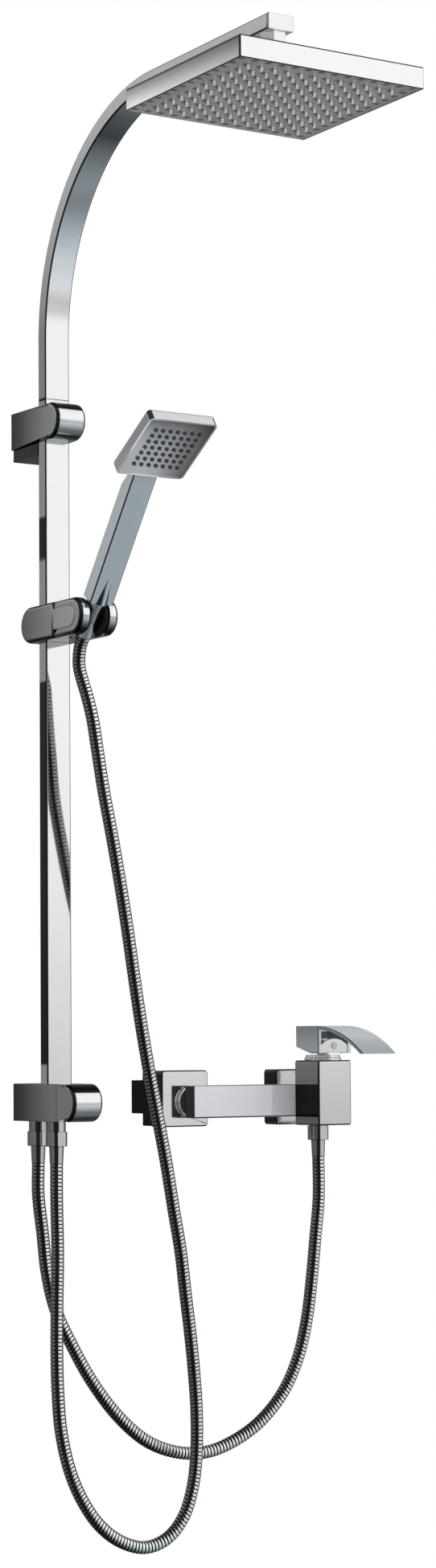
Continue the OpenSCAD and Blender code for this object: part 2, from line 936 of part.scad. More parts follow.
// Side outline of the lever's long arched blade
module blade_outline() {
    start = -lever_cap_front - 8;
    run = -lever_tip_y - start;
    drop = lever_top - lever_tip_z;
    arc_r = (run * run + drop * drop) / (2 * drop);
    difference() {
        intersection() {
            translate([start, lever_top - arc_r]) circle(arc_r, $fn = 180);
            translate([start, lever_tip_z]) square([run, 60]);
        }
        translate([start, lever_top - arc_r]) circle(arc_r - blade_t, $fn = 180);
    }
}

module lever() {
    inner = block_w / 2 - lever_wall;
    color(chrome) difference() {
        translate([block_x, 0, 0]) union() {
            from_side(block_w) cap_outline();
            from_side(block_w) blade_outline();
        }
        box(block_x - inner, block_x + inner, lever_back - lever_wall,
            lever_cap_front - 1, 40, lever_top - lever_wall - 2);
        along_x(lever_y, lever_z, block_x - 19.5, block_x + 19.5, 2.02);
    }
}

module lever_front_plate() {
    inner = block_w / 2 - lever_wall - 0.1;
    color(chrome) difference() {
        translate([block_x, lever_cap_front + 4, 0]) rotate([90, 0, 0]) linear_extrude(3)
            intersection() {
                translate([-inner, lever_low]) square([2 * inner, 16]);
                translate([0, lever_low - 9]) circle(25);
            }
        along_y(block_x, lever_z - 2, lever_cap_front + 5, lever_cap_front - 1, 3.5);
    }
}

module lever_pin_and_plug() {
    color(steel) along_x(lever_y, lever_z, block_x - 19.4, block_x + 19.4, 2);
    color(grey) along_y(block_x, lever_z - 2, lever_cap_front + 4, lever_cap_front + 0.6, 3.4);
}

// ---- one line for each node ----------------------------------------------------------

upper_arm();
arm_end_cap();
arm_nipple();
arm_lock_nut();
lower_riser();
riser_spigot();
seam_gasket();
upper_bracket();
upper_wall_anchor();
diverter_body();
lower_wall_anchor();
bracket_grub_screws();
hose_stubs();
diverter_sleeve();
diverter_spindle();
diverter_seals();
diverter_knob();
hose_nuts();
hose_ferrules();
hose_washers();
supply_hose();
handset_hose();
handset_hose_top();
slider_body();
slider_fork();
slider_liner();
clamp_pad();
clamp_spring();
release_button();
button_spring();
cradle();
handset_handle();
handset_back();
handset_spray_plate();
handset_nozzles();
handset_cone();
handset_hose_nut();
handset_washer();
head_shell();
head_spray_plate();
head_nozzles();
head_gasket();
head_neck();
swivel_nut();
swivel_seat();
swivel_ball();
mixer_bar();
valve_block();
left_escutcheon();
right_escutcheon();
left_supply_tail();
couplings();
union_nuts();
cartridge();
cartridge_nut();
cartridge_stem();
lever();
lever_front_plate();
lever_pin_and_plug();
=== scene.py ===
# Rainfall shower column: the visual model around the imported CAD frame.
# Metres, with the wall at y = 0, the front towards -Y and the origin at the lower bracket's middle.
import json
import math
import bpy
import bmesh
from mathutils import Vector, Matrix

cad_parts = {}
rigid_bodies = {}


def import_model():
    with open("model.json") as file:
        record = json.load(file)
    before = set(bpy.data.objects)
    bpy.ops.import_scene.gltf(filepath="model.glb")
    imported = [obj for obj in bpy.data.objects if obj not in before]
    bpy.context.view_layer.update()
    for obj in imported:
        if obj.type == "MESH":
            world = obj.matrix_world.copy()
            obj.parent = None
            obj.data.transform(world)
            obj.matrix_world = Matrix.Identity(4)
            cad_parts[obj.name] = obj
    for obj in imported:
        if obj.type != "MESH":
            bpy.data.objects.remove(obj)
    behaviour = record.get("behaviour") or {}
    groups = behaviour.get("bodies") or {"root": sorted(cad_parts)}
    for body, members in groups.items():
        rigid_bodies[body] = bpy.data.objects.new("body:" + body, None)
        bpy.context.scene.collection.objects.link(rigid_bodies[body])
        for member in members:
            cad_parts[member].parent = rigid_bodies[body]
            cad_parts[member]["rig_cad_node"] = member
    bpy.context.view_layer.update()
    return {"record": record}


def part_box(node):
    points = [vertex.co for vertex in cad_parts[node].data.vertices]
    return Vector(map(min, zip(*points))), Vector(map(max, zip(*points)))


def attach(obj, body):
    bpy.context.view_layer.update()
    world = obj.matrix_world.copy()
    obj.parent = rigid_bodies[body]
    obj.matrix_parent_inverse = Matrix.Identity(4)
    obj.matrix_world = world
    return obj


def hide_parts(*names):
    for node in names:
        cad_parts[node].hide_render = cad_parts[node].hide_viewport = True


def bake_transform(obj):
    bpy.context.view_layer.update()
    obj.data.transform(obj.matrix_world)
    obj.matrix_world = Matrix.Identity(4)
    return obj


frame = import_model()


def cad(name):
    """The Blender object of a CAD node."""
    for o in bpy.data.objects:
        if o.get("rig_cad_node") == name:
            return o
    raise RuntimeError(name)


def vec(*mm):
    """A point that is given in millimetres."""
    return Vector(mm) / 1000.0


# ---- camera ---------------------------------------------------------------------------

CAMERA_AT = Vector((-1.7264, -3.1459, 0.0605))
YAW = math.radians(32.08)        # from +Y towards +X
PITCH = math.radians(4.51)       # upwards
ROLL = math.radians(-0.43)       # about the line of sight
FOCAL_LENGTH = 75.76             # millimetres, for a sensor of this height
SENSOR_HEIGHT = 36.0


def make_camera():
    ahead = Vector((math.sin(YAW) * math.cos(PITCH), math.cos(YAW) * math.cos(PITCH), math.sin(PITCH)))
    level = Vector((math.cos(YAW), -math.sin(YAW), 0))
    above = level.cross(ahead)
    right = level * math.cos(ROLL) + above * math.sin(ROLL)
    up = above * math.cos(ROLL) - level * math.sin(ROLL)
    lens = bpy.data.cameras.new("camera")
    lens.sensor_fit = "VERTICAL"
    lens.sensor_height = SENSOR_HEIGHT
    lens.lens = FOCAL_LENGTH
    lens.clip_end = 60
    o = bpy.data.objects.new("camera", lens)
    place = Matrix((right, up, -ahead)).transposed().to_4x4()
    place.translation = CAMERA_AT
    o.matrix_world = place
    bpy.context.scene.collection.objects.link(o)
    bpy.context.scene.camera = o


make_camera()

# ---- node helpers -----------------------------------------------------------------------


class Nodes:
    """Adds shader nodes to a tree and links them."""

    def __init__(self, tree):
        self.nodes = tree.nodes
        self.links = tree.links

    def add(self, kind, **settings):
        node = self.nodes.new(kind)
        for key, value in settings.items():
            setattr(node, key, value)
        return node

    def put(self, node, socket, value):
        """Links an output to the node's socket, or sets the socket to a plain value."""
        if isinstance(value, bpy.types.NodeSocket):
            self.links.new(value, node.inputs[socket])
        else:
            node.inputs[socket].default_value = value

    def math(self, operation, a, b=0.0):
        node = self.add("ShaderNodeMath", operation=operation)
        self.put(node, 0, a)
        self.put(node, 1, b)
        return node.outputs[0]

    def ramp(self, factor, stops):
        """A tone or colour that runs through the stops, each a place from 0 to 1 and what is there."""
        node = self.add("ShaderNodeValToRGB")
        ramp = node.color_ramp
        while len(ramp.elements) < len(stops):
            ramp.elements.new(0.5)
        for element, (place, tone) in zip(ramp.elements, sorted(stops, key=lambda stop: stop[0])):
            element.position = place
            element.color = (tone, tone, tone, 1) if isinstance(tone, (int, float)) else (*tone, 1)
        self.put(node, 0, factor)
        return node.outputs[0]

    def mix(self, factor, a, b, mode="MIX"):
        node = self.add("ShaderNodeMix", data_type="RGBA", blend_type=mode)
        self.put(node, 0, factor)
        for socket, value in ((6, a), (7, b)):
            if isinstance(value, tuple) and len(value) == 3:
                value = (*value, 1)
            self.put(node, socket, value)
        return node.outputs[2]

    def noise(self, vector, scale, detail=2.0, rough=0.5):
        node = self.add("ShaderNodeTexNoise")
        self.put(node, "Vector", vector)
        self.put(node, "Scale", scale)
        self.put(node, "Detail", detail)
        self.put(node, "Roughness", rough)
        return node.outputs["Fac"]

    def span(self, value, low, high, to_low=0.0, to_high=1.0):
        """Carries a value from one range over to another, and stops at its ends."""
        node = self.add("ShaderNodeMapRange")
        node.clamp = True
        for socket, v in enumerate((value, low, high, to_low, to_high)):
            self.put(node, socket, v)
        return node.outputs[0]

    def axes(self, vector):
        """The X, Y and Z of a vector."""
        node = self.add("ShaderNodeSeparateXYZ")
        self.put(node, 0, vector)
        return node.outputs

    def dot(self, vector, direction):
        node = self.add("ShaderNodeVectorMath", operation="DOT_PRODUCT")
        self.put(node, 0, vector)
        node.inputs[1].default_value = direction
        return node.outputs["Value"]

    def bump(self, bsdf, height, strength, distance):
        node = self.add("ShaderNodeBump")
        node.inputs["Strength"].default_value = strength
        node.inputs["Distance"].default_value = distance
        self.put(node, "Height", height)
        self.put(bsdf, "Normal", node.outputs[0])


# ---- materials --------------------------------------------------------------------------

TOWARDS = {"-X": (-1, 0, 0), "-Y": (0, -1, 0)}
# Painted dark reflections on the rounded edges of the plating
RIM_DARK = 0.05      # what is left of the plating's tone on a darkened edge


def new_material(name):
    """A new material, its node helper, its shader, and the place on the part in metres."""
    m = bpy.data.materials.new(name)
    m.use_nodes = True
    n = Nodes(m.node_tree)
    bsdf = m.node_tree.nodes["Principled BSDF"]
    coord = n.add("ShaderNodeTexCoord").outputs["Object"]
    return m, n, bsdf, coord


def water_spots(n, coord):
    """Small round spots in patches, where drops have dried: 0 to 1."""
    cells = n.add("ShaderNodeTexVoronoi", feature="SMOOTH_F1")
    n.put(cells, "Vector", coord)
    n.put(cells, "Scale", 260.0)
    spots = n.span(cells.outputs["Distance"], 0.02, 0.10, 1.0, 0.0)
    return n.math("MULTIPLY", spots, n.span(n.noise(coord, 17.0, 2.0), 0.60, 0.72))


def wipe_marks(n, coord):
    """Fine upright hairlines, left by wiping: 0 to 1."""
    stretch = n.add("ShaderNodeMapping")
    n.put(stretch, "Vector", coord)
    stretch.inputs["Scale"].default_value = (900, 900, 25)
    return n.span(n.noise(stretch.outputs[0], 1.0, 3.0, 0.7), 0.62, 0.80)


def painted_rim_shade(n, normal, rim):
    """Painted dark reflections on the rounded edges: dark there, 1 elsewhere."""
    sizes = [n.math("ABSOLUTE", normal["XYZ".index(axis)]) for axis in rim]
    most = sizes[0]
    for size in sizes[1:]:
        most = n.math("MAXIMUM", most, size)
    turned = n.math("SUBTRACT", 1.0, n.span(most, 0.94, 0.99))
    if len(rim) == 1:
        turned = n.math("MULTIPLY", turned, n.span(most, 0.12, 0.30))
    return n.span(turned, 0.0, 1.0, 1.0, RIM_DARK)


def painted_side_tone(n, facing, value, side, stops):
    """Painted reflections and shade: a tone that runs with a value, on the faces that look to one side. It
    is 1 on the others.
    """
    low, high = min(at for at, _ in stops), max(at for at, _ in stops)
    tone = n.ramp(n.span(value, low, high), [((at - low) / (high - low), c) for at, c in stops])
    if not side:
        return tone
    there = n.span(n.dot(facing, TOWARDS[side]), 0.80, 0.97)
    return n.math("ADD", n.math("MULTIPLY", tone, there), n.math("SUBTRACT", 1.0, there))


def chrome(name, tint=(0.90, 0.91, 0.925), rough=0.045, painted_tones=(), metallic=1.0, rim=""):
    """Polished plating: bright mirror with faint ripples, dried water film and hairline wipe marks.
    painted_tones and rim paint reflections and shade into its colour.

    painted_tones paints reflections and shade into the base colour as light and dark bands, fixed to the
    part so that they stay where they are in every view.
    It is a list of (side, axis, [(where, brightness), ...]): how the tone runs along an axis, on the
    faces that look to one side, or on all of them where side is empty. The axes X, Y and Z are
    places in metres; nX and nZ are how far a surface looks right, or up.
    rim names the axes that the flat faces look along. The rounded edges beside them get painted dark
    reflections."""
    m, n, bsdf, coord = new_material(name)
    bsdf.inputs["Metallic"].default_value = metallic
    film = n.noise(coord, 38.0, 4.0, 0.6)
    spots = water_spots(n, coord)
    hair = wipe_marks(n, coord)
    r = n.math("ADD", rough, n.math("MULTIPLY", n.span(film, 0.35, 0.75), 0.05))
    r = n.math("ADD", r, n.math("MULTIPLY", spots, 0.10))
    r = n.math("ADD", r, n.math("MULTIPLY", hair, 0.03))
    n.put(bsdf, "Roughness", r)
    shade = n.span(film, 0.2, 0.8, 0.97, 1.0)
    shade = n.math("MULTIPLY", shade, n.math("SUBTRACT", 1.0, n.math("MULTIPLY", spots, 0.08)))
    facing = n.add("ShaderNodeTexCoord").outputs["Normal"]
    place, normal = n.axes(coord), n.axes(facing)
    runs = dict(X=place[0], Y=place[1], Z=place[2], nX=normal[0], nZ=normal[2])
    # Painted dark reflections on the rounded edges, then the painted reflection and shade bands, multiplied
    # into the colour
    if rim:
        shade = n.math("MULTIPLY", shade, painted_rim_shade(n, normal, rim))
    for side, axis, stops in painted_tones:
        shade = n.math("MULTIPLY", shade, painted_side_tone(n, facing, runs[axis], side, stops))
    n.put(bsdf, "Base Color", n.mix(1.0, tint, shade, "MULTIPLY"))
    ripple = n.noise(coord, 9.0, 1.0)
    height = n.math("ADD", n.math("MULTIPLY", ripple, 0.002), n.math("MULTIPLY", hair, 0.001))
    n.bump(bsdf, height, strength=0.35, distance=0.01)
    return m


def plain(name, colour, rough, metallic=0.0, grain=400.0, grain_depth=0.01, vary=0.15, spec=0.5):
    """Moulded or cast stuff: clouds of lighter and darker colour, and a fine grain."""
    m, n, bsdf, coord = new_material(name)
    bsdf.inputs["Metallic"].default_value = metallic
    bsdf.inputs["Specular IOR Level"].default_value = spec
    cloud = n.noise(coord, 45.0, 3.0)
    fine = n.noise(coord, grain, 3.0, 0.65)
    dark = tuple(c * (1 - vary) for c in colour)
    light = tuple(min(1.0, c * (1 + vary)) for c in colour)
    n.put(bsdf, "Base Color", n.mix(n.span(cloud, 0.3, 0.7), dark, light))
    n.put(bsdf, "Roughness", n.math("ADD", rough, n.math("MULTIPLY", fine, 0.12)))
    n.bump(bsdf, n.math("MULTIPLY", fine, grain_depth), strength=0.5, distance=0.01)
    return m


# ---- hoses ------------------------------------------------------------------------------

# The routes are those of the CAD cords, in millimetres
HOSE_D = 0.014
FERRULE_END = -65                    # height at which the hoses leave their ferrules
EXIT = (0, -126.556, 492.833)        # where the upper hose enters the hand shower's nut
HOSE_LOW = [
    (0, -63, FERRULE_END), (0, -63, -105), (1, -63, -160), (0, -63, -212),
    (-1, -64, -262), (-1, -66, -305), (2, -67, -345), (10, -69, -383),
    (24, -70, -416), (44, -72, -445), (70, -73, -465), (100, -74, -474),
    (128, -75, -466), (148, -76, -444), (159, -77, -412), (163, -78, -375),
    (162, -80, -332), (157, -83, -288), (150, -87, -246), (142, -91, -204),
    (134, -95, -160), (123, -99, -114), (112, -103, -66), (100, -107, -20),
    (87, -111, 30), (75, -115, 80), (64, -119, 132), (54, -122, 184),
    (43, -125, 236), (33, -126, 284), (24, -125, 330), (18, -122, 375),
]
HOSE_TOP = [
    (18, -122, 375), (14, -120, 405), (10, -116, 429), (6, -112, 448), (2, -112, 464),
    (0, -118.131, 481.652), EXIT,
]
HOSE_FEED = [
    (0, -23, FERRULE_END), (0, -23, -100), (5, -23, -140), (9, -25, -182),
    (18, -28, -222), (37, -31, -262), (59, -34, -300), (88, -37, -337),
    (122, -40, -366), (160, -42, -381), (198, -44, -383), (234, -46, -372),
    (266, -49, -352), (293, -51, -323), (311, -54, -286), (321, -57, -244),
    (326, -60, -200), (330, -62, -155), (335, -62, -110), (335, -62, FERRULE_END),
]
# One turn of the interlocked strip: how far along it, and the radius there
RING = [(0.00, 0.935), (0.12, 0.975), (0.24, 0.995), (0.45, 1.0), (0.68, 0.997), (0.80, 0.98), (0.90, 0.935)]
RING_PITCH = 0.0040
GAP_ROWS = (0, 5, 6)                 # the steps of one turn that lie in the gap
SIDES = 22                           # points round the hose
FIRST_R = 0.93                       # the first ring goes into the ferrule
TAIL_R = 0.0064                      # the tail lies inside the upper hose
TAIL_LENGTH = 0.022
CURVE_STEPS = 60                     # fine steps from one point of a route to the next
PATH_STEP = 0.0004
# Painted reflections on the hose: how its tone runs by how far a face looks right, a dark band in front and
# a white one beside it
PAINTED_HOSE_REFLECTION = [(-1.0, 0.10), (-0.96, 0.30), (-0.84, 0.42), (-0.75, 0.20), (-0.69, 0.02), (-0.33, 0.02),
             (-0.21, 1.0), (0.36, 1.0), (0.49, 0.04), (1.0, 0.02)]


def smooth_path(points):
    """A smooth curve through the points, evenly stepped, and its length."""
    p = [vec(*q) for q in points]
    p = [p[0] * 2 - p[1]] + p + [p[-1] * 2 - p[-2]]
    fine = []
    for i in range(1, len(p) - 2):
        a, b, c, d = p[i - 1:i + 3]
        for k in range(CURVE_STEPS):
            t = k / CURVE_STEPS
            fine.append(0.5 * (2 * b + (c - a) * t + (2 * a - 5 * b + 4 * c - d) * t * t
                               + (3 * b - a - 3 * c + d) * t ** 3))
    fine.append(p[-2])
    run = [0.0]
    for a, b in zip(fine[:-1], fine[1:]):
        run.append(run[-1] + (b - a).length)
    total = run[-1]
    count = max(2, int(round(total / PATH_STEP)))
    path, j = [], 0
    for k in range(count + 1):
        s = total * k / count
        while j < len(run) - 2 and run[j + 1] < s:
            j += 1
        part = (s - run[j]) / max(run[j + 1] - run[j], 1e-12)
        path.append(fine[j].lerp(fine[j + 1], min(1.0, part)))
    return path, total


def ring_stations(total, r):
    """The places along a hose that get a circle of points, and each circle's radius."""
    turns = max(3, int(round(total / RING_PITCH)))
    step = total / turns
    stations = [((k + along) * step, r * size) for k in range(turns) for along, size in RING]
    return stations + [(total, r * RING[0][1])]


def sweep(path, stations):
    """The points of a tube along the path, circle by circle, and the circles' middles."""
    length = sum((b - a).length for a, b in zip(path[:-1], path[1:]))

    def point(s):
        x = min(max(s / length, 0), 1) * (len(path) - 1)
        i = min(int(x), len(path) - 2)
        return path[i].lerp(path[i + 1], x - i)

    verts, middles = [], []
    side = None
    for s, r in stations:
        middle = point(s)
        ahead = (point(s + 0.002) - point(s - 0.002)).normalized()
        if side is None:
            side = ahead.cross(Vector((0, 1, 0))).normalized()
        side = (side - ahead * side.dot(ahead)).normalized()
        other = ahead.cross(side)
        middles.append(middle)
        for j in range(SIDES):
            a = 2 * math.pi * j / SIDES
            verts.append(middle + r * (math.cos(a) * side + math.sin(a) * other))
    return verts, middles


def tube_faces(rows):
    """The faces between the circles of a tube, and its two ends."""
    faces = []
    for i in range(rows - 1):
        for j in range(SIDES):
            k = (j + 1) % SIDES
            faces.append((i * SIDES + j, i * SIDES + k, (i + 1) * SIDES + k, (i + 1) * SIDES + j))
    faces.append(tuple(range(SIDES - 1, -1, -1)))
    faces.append(tuple((rows - 1) * SIDES + j for j in range(SIDES)))
    return faces


def hose_mesh(name, points, r=HOSE_D / 2, cut=None):
    """An interlocked metal hose: rounded rings with painted shade, near black, in the gaps between, swept
    along the route, or along its first stretch where it is cut. Gives the object and its middle line."""
    path, total = smooth_path(points)
    stations = ring_stations(cut or total, r)
    if not cut:
        stations[0] = (0.0, r * FIRST_R)
    verts, middles = sweep(path, stations)
    rows = len(stations)
    me = bpy.data.meshes.new(name)
    me.from_pydata([tuple(v) for v in verts], [], tube_faces(rows))
    me.validate()
    me.update()
    bm = bmesh.new()
    bm.from_mesh(me)
    bmesh.ops.recalc_face_normals(bm, faces=bm.faces)
    bm.to_mesh(me)
    bm.free()
    me.polygons.foreach_set("use_smooth", [True] * len(me.polygons))
    me.set_sharp_from_angle(angle=math.radians(70))
    me.materials.append(HOSE)
    me.materials.append(HOSE_GAP_SHADE)
    # The gap rows get the near-black finish: painted shade in the gaps between the rings
    for face in me.polygons:
        row = face.index // SIDES
        if row < rows - 1 and row % len(RING) in GAP_ROWS:
            face.material_index = 1
    o = bpy.data.objects.new(name, me)
    bpy.context.scene.collection.objects.link(o)
    return o, middles


def hose_material():
    """Bright steel strip with painted shade in its hollows, painted light and dark reflection bands along
    it, and fine drawing lines.
    """
    m, n, bsdf, coord = new_material("hose_steel")
    bsdf.inputs["Metallic"].default_value = 1.0
    film = n.noise(coord, 60.0, 4.0, 0.6)
    fine = n.noise(coord, 1500.0, 2.0, 0.6)
    # Painted shade: the hollows between the rings go near black, the crests stay bright
    raised = n.span(n.add("ShaderNodeNewGeometry").outputs["Pointiness"], 0.44, 0.53)
    tone = n.mix(raised, (0.03, 0.03, 0.033), (0.93, 0.94, 0.95))
    facing = n.add("ShaderNodeTexCoord").outputs["Normal"]
    # Painted reflections: light and dark bands by how far a face looks right
    band = painted_side_tone(n, facing, n.axes(facing)[0], "", PAINTED_HOSE_REFLECTION)
    tone = n.mix(1.0, tone, band, "MULTIPLY")
    n.put(bsdf, "Base Color", n.mix(n.span(film, 0.3, 0.7, 0.0, 0.05), tone, (0.55, 0.56, 0.57)))
    n.put(bsdf, "Roughness", n.math("ADD", 0.05, n.math("MULTIPLY", fine, 0.08)))
    n.bump(bsdf, fine, strength=0.3, distance=0.00002)
    return m


def hose(name, node, points):
    """A free run of hose that stands for a CAD cord."""
    o, line = hose_mesh(name, points)
    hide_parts(node)
    return o


HOSE = hose_material()
# Near-black finish for the gaps between the rings: painted shade
HOSE_GAP_SHADE = plain("hose_gap_painted_shade", (0.012, 0.012, 0.013), 0.5, metallic=0.3, vary=0.3, spec=0.2)
low_hose = hose("handset_hose_run", "handset_hose", HOSE_LOW)
top_hose = hose("handset_hose_end", "handset_hose_top", HOSE_TOP)
feed_hose = hose("supply_hose_run", "supply_hose", HOSE_FEED)
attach(feed_hose, "column")
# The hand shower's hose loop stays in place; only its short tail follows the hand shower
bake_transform(low_hose)
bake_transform(top_hose)
tail, _ = hose_mesh("handset_hose_tail", HOSE_TOP[::-1], r=TAIL_R, cut=TAIL_LENGTH)
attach(tail, "handset")

# ---- finishes ---------------------------------------------------------------------------

# Painted reflections on polished tubes: how the tone runs by how far the surface looks right
PAINTED_TUBE_REFLECTION = [(-1.0, 0.40), (-0.86, 0.62), (-0.76, 0.55), (-0.70, 0.02), (-0.29, 0.02), (-0.21, 1.0), (0.39, 1.0),
        (0.53, 0.10), (0.85, 0.03), (1.0, 0.03)]


def even(tone):
    """The same tone all along an axis."""
    return [(-2.0, tone), (2.0, tone)]


# Column, painted reflections: two black strips on the lower tube's left side, and a grey left side on the
# upper tube
RISER = chrome("chrome_riser", rim="X", painted_tones=[("-X", "Z", [
    (0.0, 0.85), (0.0405, 0.85), (0.0410, 0.02), (0.450, 0.02), (0.4505, 0.6), (0.5815, 0.6),
    (0.5820, 0.02), (0.6280, 0.02), (0.6285, 0.6), (0.76, 0.55)])])
ARM = chrome("chrome_arm", rim="X", painted_tones=[("-X", "Z", [
    (0.75, 0.50), (0.85, 0.50), (0.92, 0.40), (1.0, 0.42), (1.06, 0.50)])])
BRASS = chrome("chrome_brass")
# Hose ends: painted reflection bands, and painted dark reflections on the rounded edges
ENDS = chrome("chrome_hose_ends", tint=(0.74, 0.75, 0.76), rim="Z", painted_tones=[
    ("", "nX", [(at, 0.05 + 0.95 * tone) for at, tone in PAINTED_TUBE_REFLECTION])])

# Brackets and holder, painted shade and reflections: their left sides darken towards the wall, their round
# ends above and below
BRACKET = chrome("chrome_bracket", rim="X", painted_tones=[
    ("-X", "Y", [(-0.135, 0.62), (-0.10, 0.60), (-0.07, 0.46), (-0.045, 0.30), (-0.02, 0.13), (0.0, 0.06)]),
    ("", "nZ", [(-1.0, 0.30), (-0.9, 0.30), (-0.6, 0.60), (-0.05, 0.85), (0.02, 1.0), (0.50, 1.0),
                (0.56, 0.02), (1.0, 0.02)])])
SLIDER = chrome("chrome_slider", rim="X", painted_tones=[
    ("-X", "Y", [(-0.16, 0.60), (-0.10, 0.55), (-0.07, 0.42), (-0.045, 0.30), (-0.028, 0.22)]),
    ("", "nZ", [(-1.0, 0.03), (-0.75, 0.05), (-0.5, 0.40), (-0.05, 0.75), (0.02, 1.0), (0.55, 1.0),
                (0.62, 0.10), (1.0, 0.05)])])
# The release button: painted shade on its left side, darker towards the wall
BUTTON = chrome("chrome_button", painted_tones=[("-X", "Y", [(-0.15, 0.72), (-0.10, 0.62)])])

# Hand shower, painted reflections and shade: its face darkens to the right and upwards, and the left sides
# of handle and head are darker
HANDLE = chrome("chrome_handle", tint=(0.86, 0.93, 0.97), rim="X", metallic=0.8,
                painted_tones=[("-X", "Z", even(0.85))])
HEAD = chrome("chrome_head", tint=(0.90, 0.90, 0.91), metallic=0.7, rim="X", painted_tones=[
    ("-X", "Z", [(0.62, 0.62), (0.66, 0.50), (0.69, 0.42)])])
FACE = chrome("handset_face", tint=(0.86, 0.87, 0.88), rough=0.2, metallic=0.6, painted_tones=[
    ("", "X", [(-0.04, 1.0), (0.0, 0.90), (0.02, 0.60), (0.04, 0.22)]),
    ("", "Z", [(0.643, 1.0), (0.668, 0.95), (0.680, 0.70), (0.689, 0.28)])])
DARK_NOZZLE = plain("dark_nozzle", (0.05, 0.05, 0.055), 0.22, vary=0.3)

# Overhead head, painted reflections and shade: its left side darkens upwards and to the front, its front
# along two edges
SHELL = chrome("steel_shell", tint=(0.95, 0.95, 0.97), rim="XYZ", painted_tones=[
    ("-X", "Z", [(0.978, 1.0), (0.985, 0.75), (0.992, 0.46), (0.9965, 0.34), (0.9985, 0.05), (1.0, 0.05)]),
    ("-X", "Y", [(-0.608, 0.03), (-0.6055, 0.03), (-0.605, 0.50), (-0.56, 0.62), (-0.48, 0.78),
                 (-0.42, 0.95), (-0.398, 1.0)]),
    ("-Y", "Z", [(0.978, 0.4), (0.9792, 1.0), (0.9982, 1.0), (0.9986, 0.10), (1.0, 0.10)])])
PLATE = plain("steel_plate", (0.33, 0.33, 0.30), 0.15, metallic=0.45, grain=900.0, grain_depth=0.002)
# Nozzles: their left sides painted dark, painted shade
NOZZLE = chrome("clear_nozzle", tint=(0.95, 0.95, 0.92), rough=0.12, metallic=0.35,
                painted_tones=[("-X", "Z", even(0.05))])

# Mixer, painted reflections and shade: a black patch on the valve's left side beside the bar, dark left ends
# and dark edges
VALVE = chrome("chrome_valve", rim="XYZ", painted_tones=[
    ("-X", "Z", [(-0.030, 0.40), (-0.0210, 0.30), (-0.0205, 0.01), (0.0150, 0.01), (0.0155, 0.42),
                 (0.042, 0.50)]),
    ("-Y", "Z", [(-0.030, 0.05), (-0.0288, 0.88), (0.0405, 0.95), (0.042, 0.05)])])
BAR = chrome("chrome_bar", tint=(0.70, 0.70, 0.72), metallic=0.15, rim="XYZ", painted_tones=[
    ("-X", "Z", even(0.02)), ("-Y", "Z", [(-0.0205, 0.05), (-0.0190, 0.98), (0.0140, 1.0), (0.0155, 0.05)])])
# The left supply tail: near black, with almost no gloss
TAIL = plain("tail_near_black", (0.004, 0.004, 0.0045), 0.35, vary=0.3, spec=0.05)
# Wall covers: their left sides painted near black, painted reflections and shade
COVER = chrome("chrome_cover", tint=(0.93, 0.92, 0.90), rim="XYZ", painted_tones=[("-X", "Z", even(0.03))])
# Lever: painted shade on its left side, darker upwards, and darker towards its front end
LEVER = chrome("chrome_lever", tint=(0.80, 0.86, 0.88), rough=0.10, metallic=0.45, rim="X", painted_tones=[
    ("-X", "Z", [(0.045, 0.62), (0.062, 0.52), (0.080, 0.34)]),
    ("", "Y", [(-0.184, 0.62), (-0.150, 0.90), (-0.12, 1.0), (-0.05, 1.0)])])

# Small and inner pieces
PLASTIC = chrome("chrome_plastic", rough=0.06)
SMALL = chrome("steel_small", rough=0.18, tint=(0.62, 0.63, 0.65))
BLACK = plain("black_acetal", (0.006, 0.006, 0.007), 0.30, vary=0.3, spec=0.25)
RUBBER = plain("black_rubber", (0.02, 0.02, 0.02), 0.7, vary=0.3)
PALE = plain("white_plastic", (0.65, 0.66, 0.67), 0.4)
BRASSY = plain("bare_brass", (0.62, 0.45, 0.20), 0.28, metallic=1.0, vary=0.12)

NOZZLE_PITCH = 0.015
SPOT_SHIFT = 0.0016              # to the left of the nozzles
SPOT_R = (0.0024, 0.0044)        # fully dark inside the first radius, gone at the second
SPOT_TONE = 0.22


def shadow_spots(material, middle_y):
    """Painted shadows: dark rings around each nozzle of the overhead plate, shifted a little to the left."""
    n = Nodes(material.node_tree)
    bsdf = material.node_tree.nodes["Principled BSDF"]
    x, y, _ = n.axes(n.add("ShaderNodeTexCoord").outputs["Object"])
    squares = []
    for value, start in ((x, -SPOT_SHIFT), (y, middle_y)):
        cell = n.math("DIVIDE", n.math("SUBTRACT", value, start), NOZZLE_PITCH)
        off = n.math("SUBTRACT", n.math("FRACT", cell), 0.5)
        squares.append(n.math("MULTIPLY", off, off))
    away = n.math("SQRT", n.math("ADD", *squares))
    spot = n.span(away, SPOT_R[0] / NOZZLE_PITCH, SPOT_R[1] / NOZZLE_PITCH, SPOT_TONE, 1.0)
    base = bsdf.inputs["Base Color"].links[0].from_socket
    n.put(bsdf, "Base Color", n.mix(1.0, base, spot, "MULTIPLY"))


plate_low, plate_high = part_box("head_spray_plate")
shadow_spots(PLATE, (plate_low[1] + plate_high[1]) / 2)

